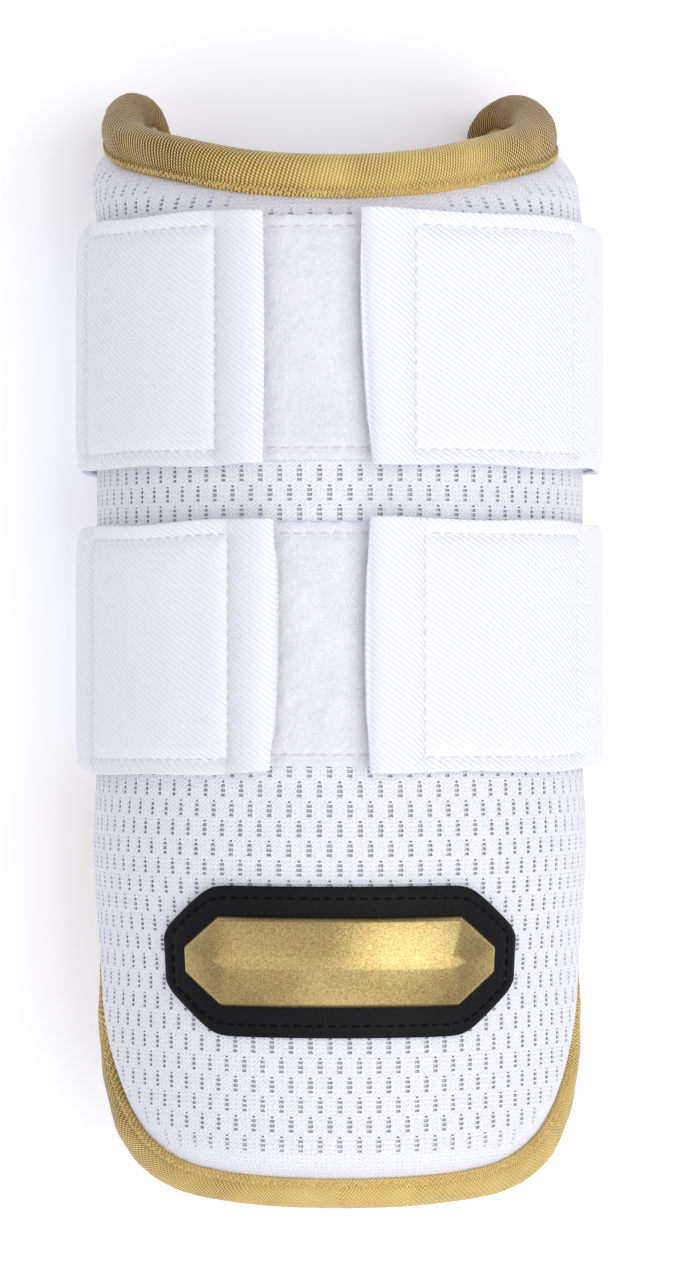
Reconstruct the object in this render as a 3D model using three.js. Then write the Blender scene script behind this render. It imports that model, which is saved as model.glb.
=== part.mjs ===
// A batter's elbow guard: a padded C-shaped shell under white knitted mesh, bound all round in gold tape,
// held by two elastic straps whose hook ends close on loop strips across its front, with a stitched badge.
// Millimetres. It lies on the backs of its straps: +Z is its front, +Y runs up the arm, +X is its right.
import * as THREE from "three";
import { mergeVertices } from "three/addons/utils/BufferGeometryUtils.js";

const { degToRad, lerp, smoothstep } = THREE.MathUtils;
const GAP = 0.3; // clearance between pieces that touch

// Shell: a padded sheet wrapped round the arm. Angles run from the front centre, lengths along the arm.
const PAD_THICKNESS = 10.5;
const EDGE_THICKNESS = 6; // where the binding holds it
const EDGE_SINK = { low: 2.4, high: 4.3 }; // mesh face down to the held edge, at the tongue and at the top
const SHEET_RADIUS = 46; // radius at which the sheet's arc lengths are true
const TOP_LEAN = -2.6; // the top rim stands this far to the left
const TOP_LEAN_SPAN = { from: 82, to: 112 };
const REAR_FLARE = { amount: 1.9, from: -45, to: -82 }; // the free lower sides stand out a little

// Radius of the mesh face along the arm
const GIRTH = [
  { along: -118, radius: 48.8 },
  { along: -72, radius: 49.2 },
  { along: -42, radius: 51.2 },
  { along: -24, radius: 50.5 },
  { along: 88, radius: 50.4 },
  { along: 116, radius: 49.8 },
];

// The tongue rolls in towards the arm below a start line; the roll fades out round the sides
const ROLL = { start: -100, radius: 24, full: degToRad(30), gone: degToRad(85) };

// Outer edge of the bound sheet from the tongue's tip up to the top's dip: degrees to each side, and along
const EDGE = [
  { left: 0, right: 0, along: -116.6 },
  { left: 41, right: 43, along: -114.4 },
  { left: 57, right: 59, along: -109.2 },
  { left: 67, right: 69, along: -103.6 },
  { left: 76, right: 77.5, along: -96.5 },
  { left: 85, right: 85, along: -87 },
  { left: 94, right: 94, along: -72 },
  { left: 106, right: 106, along: -45 },
  { left: 117, right: 117, along: -13 },
  { left: 125, right: 125, along: 22 },
  { left: 126, right: 127, along: 72 },
  { left: 126, right: 135, along: 97 },
  { left: 120.5, right: 130, along: 111 },
  { left: 108, right: 114, along: 115.2 },
  { left: 90, right: 92, along: 111.4 },
  { left: 70, right: 70, along: 106 },
  { left: 43, right: 43, along: 101 },
  { left: 22, right: 22, along: 97.6 },
  { left: 0, right: 0, along: 96.4 },
];
const LOW_CORNER = 4; // rows of the edge that are the sheet's corners
const HIGH_CORNER = 12;

// From the outer edge inwards: where the shell starts, how far it is pinched, and where it is full
const BINDING_REACH = 9;
const SHELL_RINGS = [
  { inset: 2.4, pinch: 1 },
  { inset: 5.6, pinch: 1 },
  { inset: BINDING_REACH, pinch: 1 },
  { inset: 10.6, pinch: 0.58 },
  { inset: 12.8, pinch: 0.2 },
  { inset: 15.6, pinch: 0 },
];
const SHEET_HALF = 96; // mean half-size of the sheet, which turns an inset into a share of it
const SHELL_COLUMNS = 30; // steps of the sheet round the arm
const SHELL_ROWS = 18; // and along the arm

// Binding: a folded tape, a U in section with a round back
const TAPE_THICKNESS = 1.1;
const TAPE_GAP = 0.4; // between the tape and the edge that it holds
const BINDING_BACK = { depth: 3.6, steps: 6 };

// Fastening layers, as heights above the mesh face
const LOOP = { from: GAP, to: 1.3, width: 48.2, angle: degToRad(100), steps: 40 };
const HOOK = { from: LOOP.to + GAP, to: 2.6, width: 44, steps: 10 };

// Straps: 50 mm elastic that leaves the round of the shell on a bend and lies flat across the open back
const STRAP_WIDTH = 50;
const STRAP_THICKNESS = 1.5;
const STRAP_HEIGHT = { side: 2.6, hook: HOOK.to + GAP, end: 3.6 };
const STRAP_EASES_OVER = degToRad(12); // past the hook pad, down to the side height
const STRAP_RADIUS = 50.5; // mesh face under the straps
const STRAP_BACK_BEND = 16.5; // radius of the inner face where the strap turns across the back
const STRAP_STEPS = 22;
const BEND_STEPS = 6;
const REAR_CLEAR = 31.6; // from the arm's axis back to the strap's inner face
const AXIS_HEIGHT = REAR_CLEAR + STRAP_THICKNESS;

// Each strap's centre along the arm, and for each tab the angle of its free end at its low and high corners,
// the angles that its hook pad covers, and how far its side sags (degrees and millimetres)
const STRAPS = [
  { name: "upper", centre: 59.5, tabs: [
    { name: "left", side: -1, endLow: 15.6, endHigh: 15.6, hookFrom: 27, hookTo: 72, sag: 0 },
    { name: "right", side: 1, endLow: 6.5, endHigh: 4.2, hookFrom: 16, hookTo: 63, sag: 0 },
  ] },
  { name: "lower", centre: -1, tabs: [
    { name: "left", side: -1, endLow: 14.2, endHigh: 13.4, hookFrom: 24, hookTo: 73, sag: 1.2 },
    { name: "right", side: 1, endLow: 6, endHigh: 6, hookFrom: 18, hookTo: 65, sag: 0.3 },
  ] },
];

// Badge: a plain stretched hexagon of black leather, and on it a gold plate whose faces rise to a ridge
const BADGE = {
  centre: -63.6, halfWidth: 38, halfFlat: 26, flatShare: 0.7, halfHeight: 15, halfTip: 5.5, steps: 20,
};
const PATCH = [{ inset: 0, height: GAP }, { inset: 0.4, height: 1.9 }];
const PLATE = [{ inset: 6, height: 2.35 }, { inset: 6.8, height: 3.4 }, { inset: 13.8, height: 5 }];

const WHITE_MESH = new THREE.MeshStandardMaterial({ color: 0xecebf3, roughness: 0.85 });
const GOLD_TAPE = new THREE.MeshStandardMaterial({ color: 0xb8965a, roughness: 0.55 });
const WHITE_LOOP = new THREE.MeshStandardMaterial({ color: 0xefeeef, roughness: 0.95 });
const WHITE_HOOK = new THREE.MeshStandardMaterial({ color: 0xe6e6ea, roughness: 0.7 });
const WHITE_ELASTIC = new THREE.MeshStandardMaterial({ color: 0xf4f4f9, roughness: 0.8 });
const BLACK_LEATHER = new THREE.MeshStandardMaterial({ color: 0x1b1a1b, roughness: 0.6 });
const GOLD_PLATE = new THREE.MeshStandardMaterial({ color: 0xb59a52, roughness: 0.35, metalness: 0.8 });

// Radius of the mesh face at a place along the arm, eased from row to row
function girth(along) {
  const next = Math.max(1, GIRTH.findIndex((row) => row.along >= along));
  const low = GIRTH[next - 1];
  const high = GIRTH[next];
  return lerp(low.radius, high.radius, smoothstep(along, low.along, high.along));
}

// Point at an angle round the arm, a place along the sheet, and a height above the full mesh face
function onGuard(angle, along, height) {
  const rearward = smoothstep(Math.abs(angle), ROLL.full, ROLL.gone);
  const lowward = smoothstep(-along, -REAR_FLARE.from, -REAR_FLARE.to);
  const past = Math.max(0, ROLL.start - along);
  let y = along;
  let radius = girth(along) + REAR_FLARE.amount * rearward * lowward;
  let tilt = 0;
  if (past > 0 && rearward < 1) {
    const rollRadius = ROLL.radius / (1 - rearward);
    tilt = past / rollRadius;
    y = ROLL.start - rollRadius * Math.sin(tilt);
    radius -= rollRadius * (1 - Math.cos(tilt));
  }
  radius += height * Math.cos(tilt);
  y -= height * Math.sin(tilt);
  const lean = TOP_LEAN * smoothstep(along, TOP_LEAN_SPAN.from, TOP_LEAN_SPAN.to);
  return new THREE.Vector3(lean + radius * Math.sin(angle), y, AXIS_HEIGHT + radius * Math.cos(angle));
}

// The edge as one closed curve on the flat sheet, up the right side and down the left
const edgePoint = (side) => (row) => new THREE.Vector3(
  side * SHEET_RADIUS * degToRad(side > 0 ? row.right : row.left), row.along, 0,
);
const edgeCurve = new THREE.CatmullRomCurve3(
  [...EDGE.map(edgePoint(1)), ...EDGE.slice(1, -1).reverse().map(edgePoint(-1))], true, "centripetal",
);
const CURVE_SAMPLES = 1800;
edgeCurve.arcLengthDivisions = CURVE_SAMPLES;
const curveLengths = edgeCurve.getLengths();

// Share of the curve's length at one of its points
function edgeShare(index) {
  const sample = Math.round((index / edgeCurve.points.length) * CURVE_SAMPLES);
  return curveLengths[sample] / curveLengths.at(-1);
}

const LAST_ROW = EDGE.length - 1;
const corners = {
  lowRight: edgeShare(LOW_CORNER),
  highRight: edgeShare(HIGH_CORNER),
  highLeft: edgeShare(2 * LAST_ROW - HIGH_CORNER),
  lowLeft: edgeShare(2 * LAST_ROW - LOW_CORNER),
};

// Place on the sheet's edge for a point on the edge of a square from -1 to 1, with the inward direction there
function onEdge(p, q) {
  let share;
  if (q <= -1) share = lerp(corners.lowLeft - 1, corners.lowRight, (1 + p) / 2);
  else if (p >= 1) share = lerp(corners.lowRight, corners.highRight, (1 + q) / 2);
  else if (q >= 1) share = lerp(corners.highRight, corners.highLeft, (1 - p) / 2);
  else share = lerp(corners.highLeft, corners.lowLeft, (1 - q) / 2);
  const wrapped = (share + 1) % 1;
  const tangent = edgeCurve.getTangentAt(wrapped);
  return { point: edgeCurve.getPointAt(wrapped), inward: new THREE.Vector3(-tangent.y, tangent.x, 0) };
}

// How far the held edge lies below the mesh face, at a place along the arm
const edgeSink = (along) => lerp(EDGE_SINK.low, EDGE_SINK.high, smoothstep(along, -70, 70));

// Point of the sheet on the square's ring through (p, q): insets are true lengths as far as
// the binding reaches, and further in the rings shrink evenly to the sheet's middle
function inSheet(p, q) {
  const ring = Math.max(Math.abs(p), Math.abs(q));
  if (ring === 0) return new THREE.Vector3();
  const { point, inward } = onEdge(p / ring, q / ring);
  const inset = (1 - ring) * SHEET_HALF;
  const held = point.addScaledVector(inward, Math.min(inset, BINDING_REACH));
  return held.multiplyScalar(Math.min(1, ring / (1 - BINDING_REACH / SHEET_HALF)));
}

const atSheet = (place, height) => onGuard(place.x / SHEET_RADIUS, place.y, height);

// Closed solid from the corners of its four-sided faces, taken anticlockwise from outside
function solidFrom(faces) {
  const points = faces.flatMap(([a, b, c, d]) => [a, b, c, a, c, d]);
  const geometry = new THREE.BufferGeometry().setFromPoints(points);
  const welded = mergeVertices(geometry, 1e-4);
  welded.computeVertexNormals();
  return welded;
}

// Closed solid through sections with equally many points; an open end is closed by a ladder across it
function loft(sections, closed = false) {
  const count = sections[0].length;
  const spans = closed ? sections.length : sections.length - 1;
  const faces = [];
  for (let i = 0; i < spans; i++) {
    const here = sections[i];
    const next = sections[(i + 1) % sections.length];
    here.forEach((point, k) => faces.push([point, next[k], next[(k + 1) % count], here[(k + 1) % count]]));
  }
  if (!closed) {
    const first = sections[0];
    const last = sections.at(-1);
    for (let k = 0; k < count / 2 - 1; k++) {
      faces.push([first[k], first[k + 1], first[count - 2 - k], first[count - 1 - k]]);
      faces.push([last[count - 1 - k], last[count - 2 - k], last[k + 1], last[k]]);
    }
  }
  return solidFrom(faces);
}

// Steps from -1 to 1, closer together towards both ends where the sheet has its corners
function sheetSteps(steps) {
  return Array.from({ length: steps + 1 }, (_, i) => {
    const even = (2 * i) / steps - 1;
    return lerp(even, Math.sin((even * Math.PI) / 2), 0.45);
  });
}
const columnSteps = sheetSteps(SHELL_COLUMNS);
const rowSteps = sheetSteps(SHELL_ROWS);

// Stations round the sheet's edge, clockwise from outside, that the shell and its binding share
const stations = [
  ...columnSteps.slice(1).reverse().map((p) => [p, -1]),
  ...rowSteps.slice(0, -1).map((q) => [-1, q]),
  ...columnSteps.slice(0, -1).map((p) => [p, 1]),
  ...rowSteps.slice(1).reverse().map((q) => [1, q]),
];

// Outer and inner face of the shell on the square's ring through (p, q)
function shellFaces(p, q, pinch) {
  const place = inSheet(p, q);
  const sink = edgeSink(place.y);
  return {
    outer: atSheet(place, -pinch * sink),
    inner: atSheet(place, -lerp(PAD_THICKNESS, sink + EDGE_THICKNESS, pinch)),
  };
}

function paddedShell() {
  const ringShare = (ring) => 1 - ring.inset / SHEET_HALF;
  const rings = SHELL_RINGS.map((ring) =>
    stations.map(([p, q]) => shellFaces(p * ringShare(ring), q * ringShare(ring), ring.pinch)));
  const full = ringShare(SHELL_RINGS.at(-1));
  const grid = columnSteps.map((p) => rowSteps.map((q) => shellFaces(p * full, q * full, 0)));
  const faces = [];
  const bothFaces = (a, b, c, d) => {
    faces.push([a.outer, b.outer, c.outer, d.outer]);
    faces.push([d.inner, c.inner, b.inner, a.inner]);
  };
  stations.forEach((_, k) => {
    const next = (k + 1) % stations.length;
    for (let r = 1; r < rings.length; r++) {
      bothFaces(rings[r - 1][k], rings[r][k], rings[r][next], rings[r - 1][next]);
    }
    const [here, there] = [rings[0][k], rings[0][next]];
    faces.push([here.outer, there.outer, there.inner, here.inner]);
  });
  for (let i = 0; i < SHELL_COLUMNS; i++) {
    for (let j = 0; j < SHELL_ROWS; j++) {
      bothFaces(grid[i][j], grid[i + 1][j], grid[i + 1][j + 1], grid[i][j + 1]);
    }
  }
  return solidFrom(faces);
}

// Section of the binding: insets from its outer edge, and depths from the middle of the held edge
function bindingSection() {
  const slot = EDGE_THICKNESS / 2 + TAPE_GAP;
  const face = slot + TAPE_THICKNESS;
  const back = Array.from({ length: BINDING_BACK.steps + 1 }, (_, i) => {
    const turn = Math.PI * (i / BINDING_BACK.steps - 0.5);
    return { inset: BINDING_BACK.depth * (1 - Math.cos(turn)), depth: face * Math.sin(turn) };
  });
  const bottom = TAPE_THICKNESS + GAP;
  return [
    { inset: BINDING_REACH, depth: GAP - face },
    ...back,
    { inset: BINDING_REACH, depth: face - GAP },
    { inset: BINDING_REACH, depth: slot },
    { inset: bottom, depth: slot },
    { inset: bottom, depth: -slot },
    { inset: BINDING_REACH, depth: -slot },
  ];
}

function edgeBinding() {
  const section = bindingSection();
  return loft(stations.map(([p, q]) => section.map(({ inset, depth }) => {
    const share = 1 - inset / SHEET_HALF;
    const place = inSheet(p * share, q * share);
    return atSheet(place, -edgeSink(place.y) - EDGE_THICKNESS / 2 - depth);
  })), true);
}

// Wall on the guard between two angles, with straight low and high edges
function wrappedWall(fromAngle, toAngle, steps, centre, width, layer) {
  const low = centre - width / 2;
  const high = centre + width / 2;
  return loft(Array.from({ length: steps + 1 }, (_, i) => {
    const angle = lerp(fromAngle, toAngle, i / steps);
    return [
      onGuard(angle, low, layer.to), onGuard(angle, high, layer.to),
      onGuard(angle, high, layer.from), onGuard(angle, low, layer.from),
    ];
  }));
}

// Height of a strap's inner face above the mesh: lifted at its free end, on its hook pad, then on the side
function strapHeight(tab, angle) {
  const onHook = smoothstep(angle, degToRad(tab.endLow), degToRad(tab.hookFrom));
  const pastHook = smoothstep(angle, degToRad(tab.hookTo), degToRad(tab.hookTo) + STRAP_EASES_OVER);
  return lerp(lerp(STRAP_HEIGHT.end, STRAP_HEIGHT.hook, onHook), STRAP_HEIGHT.side, pastHook);
}

// Four corners of a strap's section, round a centre in the plane across the arm
function strapSection(centreX, centreZ, low, high, innerRadius) {
  const outerRadius = innerRadius + STRAP_THICKNESS;
  const corner = ({ angle, along }, radius) =>
    new THREE.Vector3(centreX + radius * Math.sin(angle), along, centreZ + radius * Math.cos(angle));
  return [
    corner(low, outerRadius), corner(high, outerRadius), corner(high, innerRadius), corner(low, innerRadius),
  ];
}

// One side of a strap, from its free end on the front to where it lies flat across the back
function strapSide(strap, tab) {
  const low = strap.centre - STRAP_WIDTH / 2;
  const high = strap.centre + STRAP_WIDTH / 2;
  const bendZ = STRAP_THICKNESS + STRAP_BACK_BEND;
  const bendDrop = AXIS_HEIGHT - bendZ;
  const bendX = Math.sqrt((STRAP_RADIUS + STRAP_HEIGHT.side - STRAP_BACK_BEND) ** 2 - bendDrop ** 2);
  const bendAngle = Math.PI - Math.atan2(bendX, bendDrop);
  const sections = [];
  for (let i = 0; i <= STRAP_STEPS; i++) {
    const way = i / STRAP_STEPS;
    const lowAngle = lerp(degToRad(tab.endLow), bendAngle, way);
    const highAngle = lerp(degToRad(tab.endHigh), bendAngle, way);
    const sag = tab.sag * Math.sin(Math.PI * way);
    sections.push(strapSection(
      0, AXIS_HEIGHT,
      { angle: tab.side * lowAngle, along: low - sag }, { angle: tab.side * highAngle, along: high - sag },
      STRAP_RADIUS + strapHeight(tab, lowAngle),
    ));
  }
  for (let i = 1; i <= BEND_STEPS; i++) {
    const angle = tab.side * lerp(bendAngle, Math.PI, i / BEND_STEPS);
    sections.push(strapSection(
      tab.side * bendX, bendZ, { angle, along: low }, { angle, along: high }, STRAP_BACK_BEND,
    ));
  }
  return sections;
}

function elasticStrap(strap) {
  const [left, right] = strap.tabs.map((tab) => strapSide(strap, tab));
  return loft([...right, ...left.reverse()]);
}

// Outline of the badge, set in all round from its edge, at a share from -1 to 1 across it
function badgeOutline(share, inset) {
  const flat = BADGE.halfFlat - 0.35 * inset;
  const tip = Math.max(0.2, BADGE.halfTip - 0.48 * inset);
  const corner = Math.max(0, Math.abs(share) - BADGE.flatShare) / (1 - BADGE.flatShare);
  const onFlat = (flat * Math.min(Math.abs(share), BADGE.flatShare)) / BADGE.flatShare;
  return {
    across: Math.sign(share) * lerp(onFlat, BADGE.halfWidth - inset, corner),
    half: lerp(BADGE.halfHeight - inset, tip, corner),
  };
}

// Badge layer: rings of the badge's outline from its foot to its top, each with its inset and height
function badgeLayer(rings) {
  return loft(Array.from({ length: BADGE.steps + 1 }, (_, i) => {
    const place = (ring, side) => {
      const { across, half } = badgeOutline((2 * i) / BADGE.steps - 1, ring.inset);
      return onGuard(across / STRAP_RADIUS, BADGE.centre + side * half, ring.height);
    };
    return [
      ...rings.toReversed().map((ring) => place(ring, 1)),
      ...rings.map((ring) => place(ring, -1)),
    ];
  }));
}

const guard = new THREE.Group();
function addPiece(name, geometry, material) {
  const mesh = new THREE.Mesh(geometry, material);
  mesh.name = name;
  guard.add(mesh);
}

addPiece("padded_shell", paddedShell(), WHITE_MESH);
addPiece("edge_binding", edgeBinding(), GOLD_TAPE);
for (const strap of STRAPS) {
  const strip = wrappedWall(-LOOP.angle, LOOP.angle, LOOP.steps, strap.centre, LOOP.width, LOOP);
  addPiece(`loop_strip_${strap.name}`, strip, WHITE_LOOP);
  for (const tab of strap.tabs) {
    const ends = [tab.hookFrom, tab.hookTo].map((angle) => tab.side * degToRad(angle));
    const pad = wrappedWall(Math.min(...ends), Math.max(...ends), HOOK.steps, strap.centre, HOOK.width, HOOK);
    addPiece(`hook_pad_${strap.name}_${tab.name}`, pad, WHITE_HOOK);
  }
  addPiece(`strap_${strap.name}`, elasticStrap(strap), WHITE_ELASTIC);
}
addPiece("badge_patch", badgeLayer(PATCH), BLACK_LEATHER);
addPiece("badge_plate", badgeLayer(PLATE), GOLD_PLATE);

// The origin is on the ground under the middle of the guard's box
const box = new THREE.Box3().setFromObject(guard);
const middle = box.getCenter(new THREE.Vector3());
for (const mesh of guard.children) mesh.geometry.translate(-middle.x, -middle.y, -box.min.z);

export default guard;
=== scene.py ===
# %% [markdown]
# # A batter's elbow guard
# The real guard is a soft C-shaped shell of foam under white knitted mesh. Gold tape binds its edge, and two
# elastic straps close on loop strips across its front. A maker cuts each of these flat and then wraps it
# round the arm. This lesson does the same: each piece starts as a flat Blender grid, and one function wraps
# it.

# %% Load the frame and keep its box
import math

import bpy
import numpy as np
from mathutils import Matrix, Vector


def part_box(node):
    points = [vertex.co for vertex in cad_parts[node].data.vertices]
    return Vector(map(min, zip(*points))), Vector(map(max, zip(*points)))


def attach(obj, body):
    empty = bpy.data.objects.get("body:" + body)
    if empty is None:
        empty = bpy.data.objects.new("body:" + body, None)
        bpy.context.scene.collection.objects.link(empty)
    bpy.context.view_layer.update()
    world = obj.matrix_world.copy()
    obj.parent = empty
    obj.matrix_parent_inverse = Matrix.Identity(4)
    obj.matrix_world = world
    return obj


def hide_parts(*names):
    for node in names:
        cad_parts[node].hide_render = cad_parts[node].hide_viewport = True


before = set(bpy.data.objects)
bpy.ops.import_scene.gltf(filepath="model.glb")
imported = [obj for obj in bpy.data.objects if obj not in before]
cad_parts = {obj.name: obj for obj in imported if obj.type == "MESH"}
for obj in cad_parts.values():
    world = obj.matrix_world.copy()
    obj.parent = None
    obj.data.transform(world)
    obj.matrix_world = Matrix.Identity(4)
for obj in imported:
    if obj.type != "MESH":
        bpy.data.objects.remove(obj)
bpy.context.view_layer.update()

# %% [markdown]
# ## The wrap
# All sizes are in millimetres. A place on the guard has three numbers: the angle round the arm from the front
# centre, the distance along the arm, and the height above the mesh face. The shell isn't a plain tube. Its
# girth changes along the arm, its tongue rolls in at the bottom, its free lower sides flare, and its top rim
# leans a little to the left.

# %% Sizes of the shell
MM = 0.001
AXIS_HEIGHT = 33.1
GIRTH = [(-118, 48.8), (-72, 49.2), (-42, 51.2), (-24, 50.5), (88, 50.4), (116, 49.8)]  # along, radius
ROLL_START, ROLL_RADIUS = -100, 24
ROLL_FULL, ROLL_GONE = math.radians(30), math.radians(85)
ALMOST_STRAIGHT = 1e-6
FLARE, FLARE_FROM, FLARE_FULL = 1.9, 45, 82  # counted towards the tongue
TOP_LEAN, LEAN_FROM, LEAN_FULL = -2.6, 82, 112
STRAP_CENTRE = {"upper": 59.5, "lower": -1.0}

strap_low, strap_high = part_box("strap_upper")
SHIFT_X = (strap_low.x + strap_high.x) / 2 / MM
SHIFT_Y = (strap_low.y + strap_high.y) / 2 / MM - STRAP_CENTRE["upper"]
print("the guard's middle lies at", round(SHIFT_X, 2), round(SHIFT_Y, 2), "mm")


# %% Wrap a place on the guard
def ease(x, low, high):
    """From 0 at low to 1 at high, with a soft start and end."""
    t = np.clip((np.asarray(x, float) - low) / (high - low), 0, 1)
    return t * t * (3 - 2 * t)


def girth(along):
    radius = np.full(np.shape(along), float(GIRTH[0][1]))
    for (low, before), (high, after) in zip(GIRTH, GIRTH[1:]):
        radius = radius + (after - before) * ease(along, low, high)
    return radius


def rearward(angle):
    """From 0 at the front to 1 at the sides, where the tongue's roll has gone."""
    return ease(np.abs(angle), ROLL_FULL, ROLL_GONE)


def roll_curve(angle):
    return np.maximum((1 - rearward(angle)) / ROLL_RADIUS, ALMOST_STRAIGHT)


def on_guard(angle, along, height):
    """Places in metres from angles, distances along the arm and heights above the mesh face."""
    angle, along, height = np.broadcast_arrays(*(np.asarray(x, float) for x in (angle, along, height)))
    curve = roll_curve(angle)
    tilt = np.maximum(0, ROLL_START - along) * curve
    y = np.where(along < ROLL_START, ROLL_START - np.sin(tilt) / curve, along)
    radius = girth(along) + FLARE * rearward(angle) * ease(-along, FLARE_FROM, FLARE_FULL)
    radius = radius - (1 - np.cos(tilt)) / curve + height * np.cos(tilt)
    x = TOP_LEAN * ease(along, LEAN_FROM, LEAN_FULL) + radius * np.sin(angle)
    y = y - height * np.sin(tilt)
    z = AXIS_HEIGHT + radius * np.cos(angle)
    return np.stack([x + SHIFT_X, y + SHIFT_Y, z], -1) * MM


def unwrap(places, height):
    """Angle and distance along the arm of places in metres, which stand so high above the mesh face."""
    y = places[:, 1] / MM - SHIFT_Y
    x = places[:, 0] / MM - SHIFT_X - TOP_LEAN * ease(y, LEAN_FROM, LEAN_FULL)
    angle = np.arctan2(x, places[:, 2] / MM - AXIS_HEIGHT)
    curve = roll_curve(angle)
    tilt = np.arcsin(np.clip((ROLL_START - y) / (1 / curve + height), 0, 1))
    return angle, np.where(y < ROLL_START, ROLL_START - tilt / curve, y)


front = on_guard(0, 0, 0)
print("front of the mesh face stands", round(front[2] / MM, 1), "mm above the floor")

# %% [markdown]
# ## The edge
# The sheet's edge is drawn once, as a short table from the tongue's tip up each side to the dip at the top. A
# smooth closed curve runs through it. The binding follows the curve, and the mesh is cut a little inside it.

# %% Smooth and even curves
def closed_curve(points, steps):
    """Centripetal curve through closed points, with so many steps from each to the next."""
    curve = []
    for i in range(len(points)):
        p0, p1, p2, p3 = (points[(i + k - 1) % len(points)] for k in range(4))
        d0, d1, d2 = (np.linalg.norm(b - a) ** 0.5 for a, b in ((p0, p1), (p1, p2), (p2, p3)))
        leave = d1 * ((p1 - p0) / d0 - (p2 - p0) / (d0 + d1) + (p2 - p1) / d1)
        arrive = d1 * ((p2 - p1) / d1 - (p3 - p1) / (d1 + d2) + (p3 - p2) / d2)
        t = np.arange(steps)[:, None] / steps
        bend = -3 * p1 + 3 * p2 - 2 * leave - arrive
        twist = 2 * p1 - 2 * p2 + leave + arrive
        curve.append(p1 + leave * t + bend * t**2 + twist * t**3)
    return np.concatenate(curve)


def run_along(points):
    """Distance of each point from the first, along the line through them."""
    return np.concatenate([[0], np.cumsum(np.linalg.norm(np.diff(points, axis=0), axis=1))])


def points_at(where, run, points):
    return np.stack([np.interp(where, run, points[:, k]) for k in range(2)], -1)


def evenly(points, count):
    """The closed curve again, with evenly spaced points, and its length."""
    loop = np.vstack([points, points[:1]])
    run = run_along(loop)
    return points_at(np.arange(count) / count * run[-1], run, loop), run[-1]


def inward(loop):
    """Directions into the sheet from the points of its edge."""
    heading = np.roll(loop, -1, axis=0) - np.roll(loop, 1, axis=0)
    heading /= np.linalg.norm(heading, axis=1)[:, None]
    return np.stack([-heading[:, 1], heading[:, 0]], -1)


# %% Edge of the sheet
SHEET_RADIUS = 46  # arc lengths on the flat sheet are true at this radius
EDGE_ROWS = [  # degrees to the left, degrees to the right, along
    (0, 0, -116.6), (41, 43, -114.4), (57, 59, -109.2), (67, 69, -103.6), (76, 77.5, -96.5), (85, 85, -87),
    (94, 94, -72), (106, 106, -45), (117, 117, -13), (125, 125, 22), (126, 127, 72), (126, 135, 97),
    (120.5, 130, 111), (108, 114, 115.2), (90, 92, 111.4), (70, 70, 106), (43, 43, 101), (22, 22, 97.6),
    (0, 0, 96.4),
]
CURVE_STEPS = 24  # from each row to the next
EDGE_STATIONS = 360
right_side = [(SHEET_RADIUS * math.radians(right), along) for _, right, along in EDGE_ROWS]
left_side = [(-SHEET_RADIUS * math.radians(left), along) for left, _, along in EDGE_ROWS[-2:0:-1]]
edge, edge_length = evenly(closed_curve(np.array(right_side + left_side), CURVE_STEPS), EDGE_STATIONS)
edge_inward = inward(edge)
print("the edge is", round(edge_length), "mm round")


# %% Distance in from the edge, and the shell's pinch there
BINDING_REACH = 9.0
PINCH_ENDS, PINCH_CURVE = 15.6, 1.8  # the shell is full from here inwards
EDGE_THICKNESS = 6.0
TONGUE_SINK, TOP_SINK = 2.4, 4.3  # how far the shell's face dips at its edge
SINK_CHANGES = (-70, 70)  # along the arm, from the tongue's dip to the top's
AT_ONCE = 4000  # places compared with the edge in one go


def inset_from_edge(places):
    """How far flat places lie inside the edge; negative outside."""
    inset = np.empty(len(places))
    for start in range(0, len(places), AT_ONCE):
        part = places[start:start + AT_ONCE]
        away = part[:, None, :] - edge[None, :, :]
        near = np.argmin((away**2).sum(-1), axis=1)
        inset[start:start + AT_ONCE] = (away[np.arange(len(part)), near] * edge_inward[near]).sum(-1)
    return inset


def edge_sink(along):
    return TONGUE_SINK + (TOP_SINK - TONGUE_SINK) * ease(along, *SINK_CHANGES)


def pinch(inset):
    return (1 - np.clip((inset - BINDING_REACH) / (PINCH_ENDS - BINDING_REACH), 0, 1)) ** PINCH_CURVE


print("middle of the sheet is", round(float(inset_from_edge(np.zeros((1, 2)))[0])), "mm from its edge")

# %% [markdown]
# ## Helpers
# A grid cut flat has its lines where the pattern needs them. Its vertices then move to their places on the
# guard, and the flat places stay as the UV map, in millimetres, so that every weave follows its own cloth.

# %% Read, place and mark a mesh
def select_only(piece):
    bpy.ops.object.select_all(action="DESELECT")
    piece.select_set(True)
    bpy.context.view_layer.objects.active = piece


def read_places(piece, what="co"):
    """Places of a piece's vertices in metres, or their normals."""
    places = np.empty(len(piece.data.vertices) * 3)
    piece.data.vertices.foreach_get(what, places)
    return places.reshape(-1, 3)


def read_corners(piece):
    """The vertex at each corner of each face, in the order of the UV map."""
    corners = np.empty(len(piece.data.loops), dtype=int)
    piece.data.loops.foreach_get("vertex_index", corners)
    return corners


def lay(piece, places):
    piece.data.vertices.foreach_set("co", np.ascontiguousarray(places, dtype=float).ravel())
    piece.data.update()


def mark_corners(piece, uv):
    """Writes one flat place in millimetres for each corner of a face as the UV map."""
    layer = piece.data.uv_layers.active or piece.data.uv_layers.new(name="Cloth")
    layer.name = "Cloth"
    layer.data.foreach_set("uv", np.ascontiguousarray(uv, dtype=float).ravel())


def mark_cloth(piece, flat):
    """Writes the vertices' flat places as the UV map."""
    mark_corners(piece, flat[read_corners(piece)])


# %% Cut, modify and finish a piece
SMOOTH_BELOW = math.radians(40)


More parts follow.
